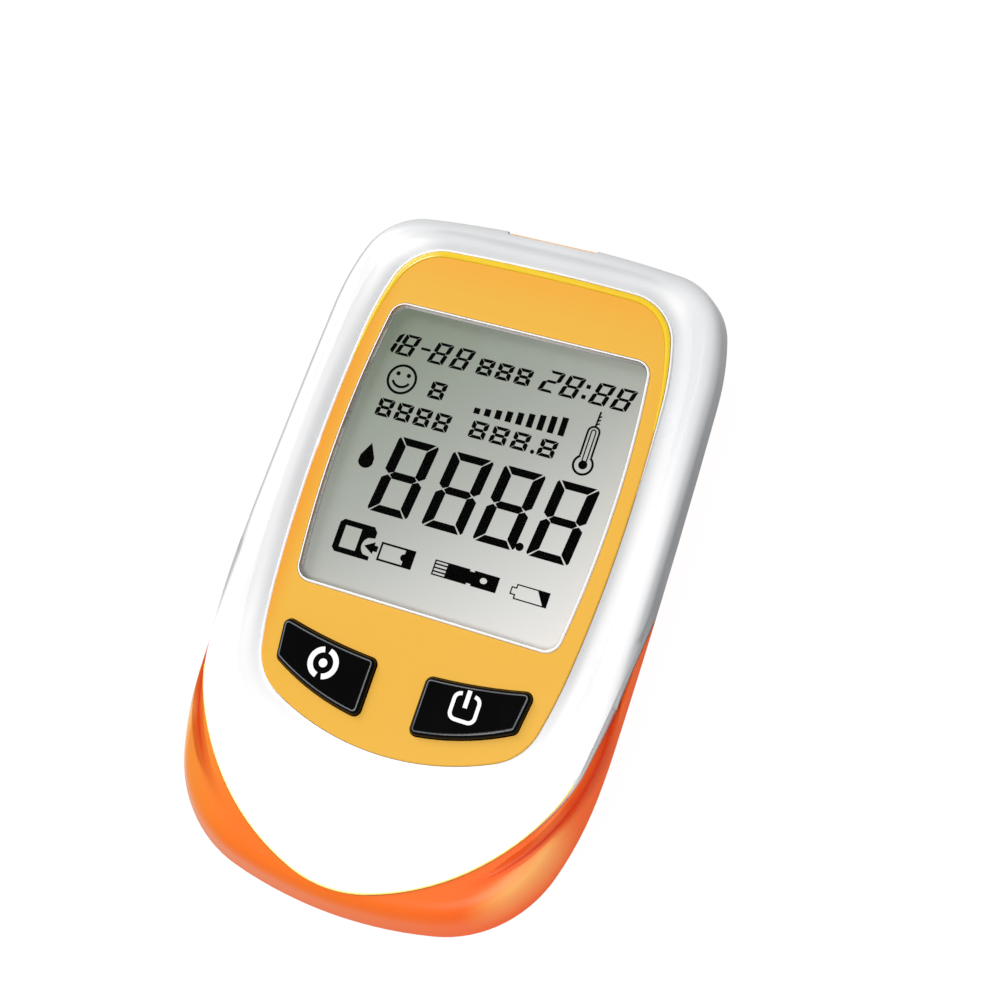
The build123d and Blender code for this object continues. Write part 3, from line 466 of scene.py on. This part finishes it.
def stroke(points, width, closed=False):
    """Line of that width along the points, as quads with mitred corners."""
    count = len(points)
    sides = []
    for i, (x, y) in enumerate(points):
        before = points[i - 1] if closed or i else None
        after = points[(i + 1) % count] if closed or i < count - 1 else None
        ways = []
        for a, b in ((before, (x, y)), ((x, y), after)):
            if a is not None and b is not None:
                ways.append((Vector(b) - Vector(a)).normalized())
        way = sum(ways, Vector((0, 0))).normalized()
        normal = Vector((-way.y, way.x))
        reach = width / 2 / max(0.3, normal.dot(Vector((-ways[0].y, ways[0].x))))
        sides.append((Vector((x, y)) + normal * reach, Vector((x, y)) - normal * reach))
    last = count if closed else count - 1
    quads = []
    for i in range(last):
        (a, b), (c, d) = sides[i], sides[(i + 1) % count]
        quads.append([tuple(a), tuple(b), tuple(d), tuple(c)])
    return quads


def box(x0, y0, x1, y1):
    return [(x0, y0), (x1, y0), (x1, y1), (x0, y1)]


def digit(x, y, width, height, upright, level, lean, lit="abcdefg"):
    """Seven-segment figure with its lower left corner at x, y."""
    w, h, u, v = width, height, upright, level
    m = h / 2
    g = 0.07 * u
    k = 0.27 * u
    tall = [(0, h - k), (0.15 * u, h - 0.1 * v), (u - g, h - v - g), (u, h - 1.3 * v), (u, m + 0.45 * v),
            (0.5 * u, m + g), (0, m + 0.6 * v)]
    bar = [(k + g, h), (w - k - g, h), (w - u, h - v), (u, h - v)]
    flip_x = [(w - px, py) for px, py in reversed(tall)]
    segments = {
        "a": bar,
        "f": tall,
        "b": flip_x,
        "e": [(px, h - py) for px, py in reversed(tall)],
        "c": [(px, h - py) for px, py in reversed(flip_x)],
        "d": [(px, h - py) for px, py in reversed(bar)],
        "g": [(0.62 * u + g, m), (u + g, m + v / 2), (w - u - g, m + v / 2), (w - 0.62 * u - g, m),
              (w - u - g, m - v / 2), (u + g, m - v / 2)],
    }
    return [[(x + px + py * lean, y + py) for px, py in segments[s]] for s in lit]


# ---------------------------------------------------------------- display marks
def on_glass(polygons):
    """From places read on the window's face to places on the glass below it."""
    return [[((x - GLASS_SHIFT_X) / GLASS_SCALE, (y - GLASS_SHIFT_Y) / GLASS_SCALE + WINDOW_Y)
             for x, y in points] for points in polygons]


def big_figures():
    shapes = []
    for x in (-12.15, -4.25, 3.1, 10.6):
        shapes += digit(x, -8.8, 5.85, 10.75, 1.4, 1.02, 0.093)
    shapes.append(disc(9.55, -8.05, 0.55))
    return shapes


def small_figures():
    """Date and time in the top row, with plain figures where the display has a word between them."""
    row, width, height, upright, level, lean = 12.85, 2.3, 3.1, 0.58, 0.36, 0.28
    shapes = digit(-18.6, row, 2.25, height, upright, level, lean, "bc")
    for x in (-16.05, -11.25, -8.05):
        shapes += digit(x, row, width, height, upright, level, lean)
    shapes.append(box(-12.55, 14.3, -11.2, 14.65))
    shapes += digit(4.85, row, width, height, upright, level, lean, "abged")
    for x in (7.75, 11.95, 14.95):
        shapes += digit(x, row, width, height, upright, level, lean)
    shapes += [box(11.2, 14.7, 11.75, 15.25), box(10.95, 13.2, 11.5, 13.75)]
    for x in (-4.15, -1.4, 1.35):
        shapes += digit(x, 12.95, 2.15, 2.3, 0.6, 0.42, 0.1)
    return shapes


def generic_figures():
    """Plain numbers and a level scale where the display has words and units."""
    upright, level, lean = 0.6, 0.42, 0.08
    shapes = digit(-9.5, 8.1, 2.2, 2.4, upright, level, lean)
    for x in (-15.8, -13.0, -10.2, -7.4):
        shapes += digit(x, 3.95, 2.2, 2.5, upright, level, lean)
    for i in range(9):
        x = -2.5 + 1.5 * i
        shapes.append(box(x, 7.6, x + 0.85, 8.4 + 0.22 * i))
    for x in (-2.2, 0.8, 3.8):
        shapes += digit(x, 4.3, 2.3, 2.4, upright, level, lean)
    shapes.append(disc(7.0, 4.55, 0.28))
    shapes += digit(7.6, 4.3, 2.3, 2.4, upright, level, lean)
    return shapes


def mood_icon():
    shapes = stroke(disc(-13.7, 9.6, 1.98), 0.34, True)
    shapes += [disc(-14.45, 10.3, 0.3), disc(-12.9, 10.3, 0.3)]
    shapes += stroke(arc(-13.7, 9.85, 1.35, 208, 332), 0.34)
    return shapes


def thermometer_icon():
    x = 14.08
    tube = [(x - 0.78, 5.78)] + arc(x, 9.15, 0.78, 180, 0) + [(x + 0.78, 5.78)]
    shapes = stroke(arc(x, 4.6, 1.3, 122, 418, 24), 0.3)
    shapes += stroke(tube, 0.26)
    shapes += stroke([(x - 0.3, 5.1)] + arc(x, 9.2, 0.3, 180, 0, 8) + [(x + 0.3, 5.1)], 0.16)
    shapes.append(disc(x, 4.6, 0.6))
    shapes += stroke([(x, 10.05), (x + 0.1, 12.1)], 0.24)
    for i in range(3):
        shapes += stroke([(x + 0.12, 10.3 + 0.5 * i), (x + 0.42, 10.5 + 0.5 * i)], 0.18)
    return shapes


def drop_icon():
    round_part = arc(-14.6, -2.4, 1.12, 200, 340, 12)
    return [[(-14.6, 0.05), (-15.1, -0.9), (-15.62, -1.9)] + round_part + [(-13.58, -1.9), (-14.1, -0.9)]]


def device_icon():
    """Small meter seen from the front, with an arrow that leads a card into it."""
    shapes = [
        [(-15.0, -14.9), (-14.1, -14.65), (-14.1, -11.6), (-15.0, -11.35)],
        [(-15.0, -11.35), (-14.1, -11.6), (-11.7, -11.6), (-11.7, -10.85), (-14.5, -10.85)],
        [(-15.0, -14.9), (-14.5, -15.4), (-11.7, -15.4), (-11.7, -14.65), (-14.1, -14.65)],
    ]
    bay = arc(-9.75, -13.6, 1.35, 110, 250, 12)
    shapes.append([(-11.7, -10.85), (-11.7, -15.4), (-9.55, -15.4), (-9.55, -14.85)] + bay[::-1][1:-1]
                  + [(-9.55, -12.3), (-9.55, -11.5), (-10.1, -10.85)])
    shapes.append([(-10.7, -13.58), (-9.3, -14.4), (-9.3, -14.0), (-8.75, -14.0), (-8.75, -13.2),
                   (-9.3, -13.2), (-9.3, -12.75)])
    return shapes


def card_icon():
    x0, x1, y0, y1 = -8.35, -3.6, -14.85, -12.55
    shapes = stroke([(-4.9, y1), (x0, y1), (x0, y0), (-4.9, y0)], 0.26)
    shapes.append([(-4.9, y0 - 0.13), (x1 + 0.1, y0 - 0.13), (x1 + 0.1, y1 + 0.13), (-4.9, y1 + 0.13),
                   (-4.9, -13.2)] + arc(-4.9, -13.7, 0.48, 100, 260, 8) + [(-4.9, -14.2)])
    return shapes


def strip_icon():
    """Test strip: bare contacts at the left, a dark body and a sample hole."""
    x0, x1, x2 = -0.55, 1.2, 8.45
    y0, y1 = -14.75, -12.65
    shapes = stroke([(x1, y1 - 0.1), (x0, y1 - 0.1), (x0, y0 + 0.1), (x1, y0 + 0.1)], 0.18)
    for i in range(3):
        y = y0 + 0.55 + 0.5 * i
        shapes.append(box(x0 + 0.1, y - 0.1, x1, y + 0.1))
    hole = arc(6.45, -13.65, 0.5, 180, 540, 16)
    hole = [(x, -13.65 + (y + 13.65) * 0.8) for x, y in hole]
    lower = [(x1, -13.65), (x1, y0), (4.3, y0), (4.3, y0 + 0.25), (4.95, y0 + 0.25), (4.95, y0), (x2, y0),
             (x2, -13.65)] + hole[:9][::-1]
    upper = [(x2, -13.65), (x2, y1), (4.95, y1), (4.95, y1 - 0.25), (4.3, y1 - 0.25), (4.3, y1), (x1, y1),
             (x1, -13.65)] + hole[8:][::-1]
    return shapes + [lower, upper]


def battery_icon():
    points = [(13.9, -12.82), (10.98, -12.82), (10.98, -13.3), (10.35, -13.3), (10.35, -14.2), (10.98, -14.2),
              (10.98, -14.7), (15.0, -14.7)]
    shapes = stroke(points, 0.16)
    shapes.append([(13.7, -12.74), (15.0, -14.78), (15.47, -14.78), (15.47, -12.74)])
    return shapes


def display_marks():
    groups = {
        "display_big_figures": big_figures(),
        "display_small_figures": small_figures(),
        "display_generic_figures": generic_figures(),
        "display_mood_icon": mood_icon(),
        "display_thermometer_icon": thermometer_icon(),
        "display_drop_icon": drop_icon(),
        "display_device_icon": device_icon(),
        "display_card_icon": card_icon(),
        "display_strip_icon": strip_icon(),
        "display_battery_icon": battery_icon(),
    }
    for name, polygons in groups.items():
        mark(name, on_glass(polygons), GLASS_TOP, INK, ink)


display_marks()


# ---------------------------------------------------------------- key symbols
def key_marks():
    x, y = -10.28, WINDOW_Y - 29.95
    shapes = stroke(arc(x, y, 1.77, -79, 77, 18), 0.75) + stroke(arc(x, y, 1.77, 101, 257, 18), 0.75)
    shapes.append(disc(x, y, 0.58))
    mark("memory_key_symbol", shapes, KEY_TOP, INK, key_print, "memory_key")

    x = 9.76
    half, turn = 1.7, 0.85
    points = [(x + 0.85, y + half)]
    for cx, cy, start in ((1, 1, 90), (1, -1, 0), (-1, -1, -90), (-1, 1, -180)):
        points += arc(x + cx * (half - turn), y + cy * (half - turn), turn, start, start - 90, 6)
    points.append((x - 0.85, y + half))
    shapes = stroke(points[1:-1], 0.5)
    shapes.append(box(x - 0.3, y, x + 0.3, y + 2.3))
    mark("power_key_symbol", shapes, KEY_TOP, INK, key_print, "power_key")


key_marks()


# ---------------------------------------------------------------- beads along edges
def quarter(half, reach, corner, haunch, turns, end_y, up, inset=0.0, steps=16):
    """Points on four tangent arcs, from the middle of an end to the widest station on the right."""
    turns = [math.radians(a) for a in turns]
    s1, s2, s3 = [math.sin(a) for a in turns]
    c1, c2, c3 = [math.cos(a) for a in turns]
    wide = half - corner * (s2 - s1) - haunch * (s3 - s2)
    far = reach - corner * (c1 - c2) - haunch * (c2 - c3)
    det = s1 * c3 - (1 - s3) * (1 - c1)
    radii = ((wide * c3 - far * (1 - s3)) / det, corner, haunch, (far * s1 - wide * (1 - c1)) / det)
    stops = [0.0] + turns + [math.pi / 2]
    x, y = 0.0, inset
    points = [(x, end_y + up * y)]
    for radius, start, stop in zip(radii, stops, stops[1:]):
        x0, y0 = x, y
        for i in range(1, steps + 1):
            a = start + (stop - start) * i / steps
            x = x0 + (radius - inset) * (math.sin(a) - math.sin(start))
            y = y0 + (radius - inset) * (math.cos(start) - math.cos(a))
            points.append((x, end_y + up * y))
    return points


def both_sides(points):
    """The same outline from the left side round to the right."""
    return [(-x, y) for x, y in reversed(points)][:-1] + points


def plate_edge(inset):
    """Upper half of the plate's outline."""
    turns = (2.5, 74.5, 86.0)
    return both_sides(quarter(PLATE_HALF_W, 30.8, 7.2, 41.0, turns, WINDOW_Y + 29.1, -1, inset))


def u_edge(inset):
    """Outline of the white shell where it meets the orange fender."""
    return both_sides(quarter(29.05, 62.1, 32.7, 19.7, (18.2, 65.1, 82.5), LOW_END + 3.0, 1, inset))


def body_edge():
    """Lower half of the body's widest contour."""
    return both_sides(quarter(HALF_W, 30.5, 17.3, 45.3, (13.6, 72.7, 86.6), LOW_END, 1))


def rim_centre():
    """Middle of the white rim's rounding: its height, and how far it is inside the widest contour."""
    draft = math.radians(RIM_DRAFT)
    centre_z = CREST_Z - RIM_ROUND
    return centre_z, (centre_z - WIDE_Z) * math.tan(draft) + RIM_ROUND / math.cos(draft)


def rim_z(point, contour):
    """Height of the white rim's rounded surface above a point inside the widest contour."""
    inside = min((Vector(point) - Vector(other)).length for other in contour)
    centre_z, centre = rim_centre()
    fall = max(0.0, min(centre - inside, RIM_ROUND * math.cos(math.radians(RIM_DRAFT))))
    return centre_z + math.sqrt(RIM_ROUND ** 2 - fall ** 2)


def make_bead(name, rows, material, ring=False):
    """Strip through rows of points, each row once round the bead's section."""
    bm = bmesh.new()
    rows = [[bm.verts.new([c * MM for c in point]) for point in row] for row in rows]
    count = len(rows[0])
    for a, b in zip(rows, rows[1:] + rows[:1] if ring else rows[1:]):
        for i in range(count):
            j = (i + 1) % count
            bm.faces.new((a[i], a[j], b[j], b[i]))
    if not ring:
        bm.faces.new(rows[0])
        bm.faces.new(rows[-1][::-1])
    for face in bm.faces:
        face.smooth = len(face.verts) == 4
    add_piece(name, bm, material, "housing")


def rim_skin(name, side):
    """Thin even skin over the rounded rim, from beside the window up to the top corner.

    It is no piece of the real object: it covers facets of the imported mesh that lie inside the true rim.
    """
    lift, sunk, back = 0.02, -0.5, -0.7        # the skin's face, its face where it fades out, its back
    stop, fade_stop, fade_over = 42.0, 41.5, 3.0
    centre_z, centre = rim_centre()

    def surface(lean, lift):
        radius = RIM_ROUND + lift
        inset = centre - radius * math.sin(lean)
        contour = quarter(HALF_W, 63.5, 9.5, 38.0, (6.0, 74.0, 87.8), HIGH_END, -1, inset, steps=40)
        return [(side * x, y, centre_z + radius * math.cos(lean)) for x, y in contour]

    leans = [math.radians(4.0 + 78.0 * i / 20) for i in range(21)]
    starts = [-13.0 + 11.0 * lean / leans[-1] for lean in leans]
    starts += starts[::-4]
    behind = [surface(lean, back) for lean in leans[::-4]]
    around = [surface(lean, lift) for lean in leans] + behind
    faded = [surface(lean, sunk) for lean in leans] + behind
    rows = []
    for above, below in zip(zip(*around), zip(*faded)):
        if starts[0] < above[0][1] < stop:
            row = []
            for high, low, start in zip(above, below, starts):
                near_end = min((high[1] - start) / fade_over, (fade_stop - high[1]) / fade_over)
                fade = max(0.0, min(1.0, near_end))
                row.append([b + (a - b) * fade for a, b in zip(high, low)])
            rows.append(row)
    make_bead(name, rows, white)


def bead_row(outer, inner, low, lift):
    """Section from the outer point over a low arch to the inner point."""
    row = []
    for i in range(ARCH_STEPS + 1):
        t = i / ARCH_STEPS
        row.append((outer[0] + (inner[0] - outer[0]) * t, outer[1] + (inner[1] - outer[1]) * t,
                    low + math.sin(math.pi * t) * lift))
    return row


def plate_bead_highlight():
    """Raised bead on the plate's upper edge, thinning out down both sides; its bright yellow is a painted
    highlight.
    """
    rows = []
    for outer, inner in zip(plate_edge(-0.06), plate_edge(0.9)):
        fade = min(1.0, (outer[1] - WINDOW_Y - 10.0) / 15.0)
        if fade > 0.05:
            near = [a + (b - a) * (0.15 + 0.85 * fade) for a, b in zip(outer, inner)]
            rows.append(bead_row(outer, near, PLATE_TOP - 0.02, 0.06 + 0.16 * fade))
    make_bead("plate_bead_highlight", rows, bead)


def plate_lip():
    """Fine white lip of the dish above the plate and down its left side."""
    def edge(inset):
        turns = (25.4, 77.3, 84.2)
        lower = both_sides(quarter(PLATE_HALF_W, 37.1, 7.7, 69.5, turns, WINDOW_Y - 38.8, 1, inset))
        half = len(lower) // 2
        return lower[:half][::-1] + plate_edge(inset)
    rows = []
    for outer, near, over in zip(edge(-0.42), edge(-0.03), edge(0.07)):
        start, stop = (LOW_END + 22.0, 10.0) if outer[0] < 0 else (WINDOW_Y, 18.0)
        fade = min(1.0, (outer[1] - start) / stop)
        if fade > 0.1:
            inner = over if outer[0] < 0 else near
            wide = [b + (a - b) * fade for a, b in zip(outer, inner)]
            rows.append(bead_row(wide, inner, PLATE_TOP - 0.2, 0.1 + 0.2 * fade))
    make_bead("plate_lip", rows, lip)


def window_border():
    """White line printed round the window, over its bevelled edge."""
    def edge(inset):
        half, level, bow, corner = 19.9, 20.25, 150.0, 2.2
        cy = level - corner
        cx = half - bow + math.sqrt((bow - corner) ** 2 - cy ** 2)
        lean = math.degrees(math.asin(cy / (bow - corner)))
        side = arc(half - bow, 0.0, bow - inset, 0.0, lean, 10)
        quarter_turn = side + arc(cx, cy, corner - inset, lean, 90.0, 10)[1:]
        upper = quarter_turn + [(-x, y) for x, y in reversed(quarter_turn)]
        points = upper + [(x, -y) for x, y in reversed(upper)][1:-1]
        return [(x, y + WINDOW_Y) for x, y in points]
    top, low, thick = WINDOW_TOP + 0.03, WINDOW_TOP - 0.22, 0.02
    rows = []
    for out, bevel, near in zip(edge(-0.04), edge(0.13), edge(0.27)):
        rows.append([(*out, low), (*bevel, top), (*near, top),
                     (*near, top - thick), (*bevel, top - thick), (*out, low - thick)])
    make_bead("window_border", rows, lip, ring=True)


def seam_highlight_bead():
    """Raised pale line along the white shell's lower edge, running out before the wings' tips; its pale
    yellow and glow are a painted highlight.
    """
    contour = body_edge()
    rows = []
    for outer, inner in zip(u_edge(-0.02), u_edge(0.3)):
        if outer[1] > SEAM_STOP:
            continue
        fade = min(1.0, (SEAM_STOP - outer[1]) / 12.0)
        near = [a + (b - a) * (0.3 + 0.7 * fade) for a, b in zip(outer, inner)]
        rows.append(bead_row(outer, near, rim_z(outer, contour) - 0.3, 0.36))
    make_bead("seam_highlight_bead", rows, seam_highlight)


rim_skin("rim_skin_left", -1)
rim_skin("rim_skin_right", 1)
plate_bead_highlight()
plate_lip()
window_border()
seam_highlight_bead()


# ---------------------------------------------------------------- floor and light
def make_floor():
    """White ground that gives off its own light, so that it stays white right up to the object."""
    paper = Material("pale_floor", (60, 60, 60), 0.9, Specular_IOR_Level=0.0, Emission_Color=(1, 1, 1, 1),
                     Emission_Strength=0.97)
    paper.speckle(40.0, (57, 57, 58), 0.5).bump(2.0, 0.02, 0.1)
    mesh = bpy.data.meshes.new("floor")
    half, drop = 6.0, 0.1 * MM                 # just below the feet, so that the faces don't coincide
    around = ((-half, -half), (half, -half), (half, half), (-half, half))
    mesh.from_pydata([(x, y, -drop) for x, y in around], [], [(0, 1, 2, 3)])
    mesh.materials.append(paper.data)
    floor = bpy.data.objects.new("floor", mesh)
    bpy.context.scene.collection.objects.link(floor)


def make_light(name, place, power):
    """Square lamp that points at the object."""
    data = bpy.data.lights.new(name, "AREA")
    data.shape = "RECTANGLE"
    data.size, data.size_y = 0.5, 0.5
    data.energy = power
    lamp = bpy.data.objects.new(name, data)
    lamp.location = place
    lamp.rotation_euler = (-Vector(place)).to_track_quat("-Z", "Y").to_euler()
    bpy.context.scene.collection.objects.link(lamp)


def make_world(strength):
    world = bpy.data.worlds.new("studio")
    world.use_nodes = True
    sky = world.node_tree.nodes["Background"]
    sky.inputs["Color"].default_value = (1.0, 1.0, 1.0, 1.0)
    sky.inputs["Strength"].default_value = strength
    bpy.context.scene.world = world


make_floor()
make_world(0.225)
make_light("key", (0.1, -0.25, 0.95), 7.3)
make_light("upper_left", (-0.7, 0.5, 0.6), 4.5)
bpy.context.scene.view_settings.view_transform = "Standard"
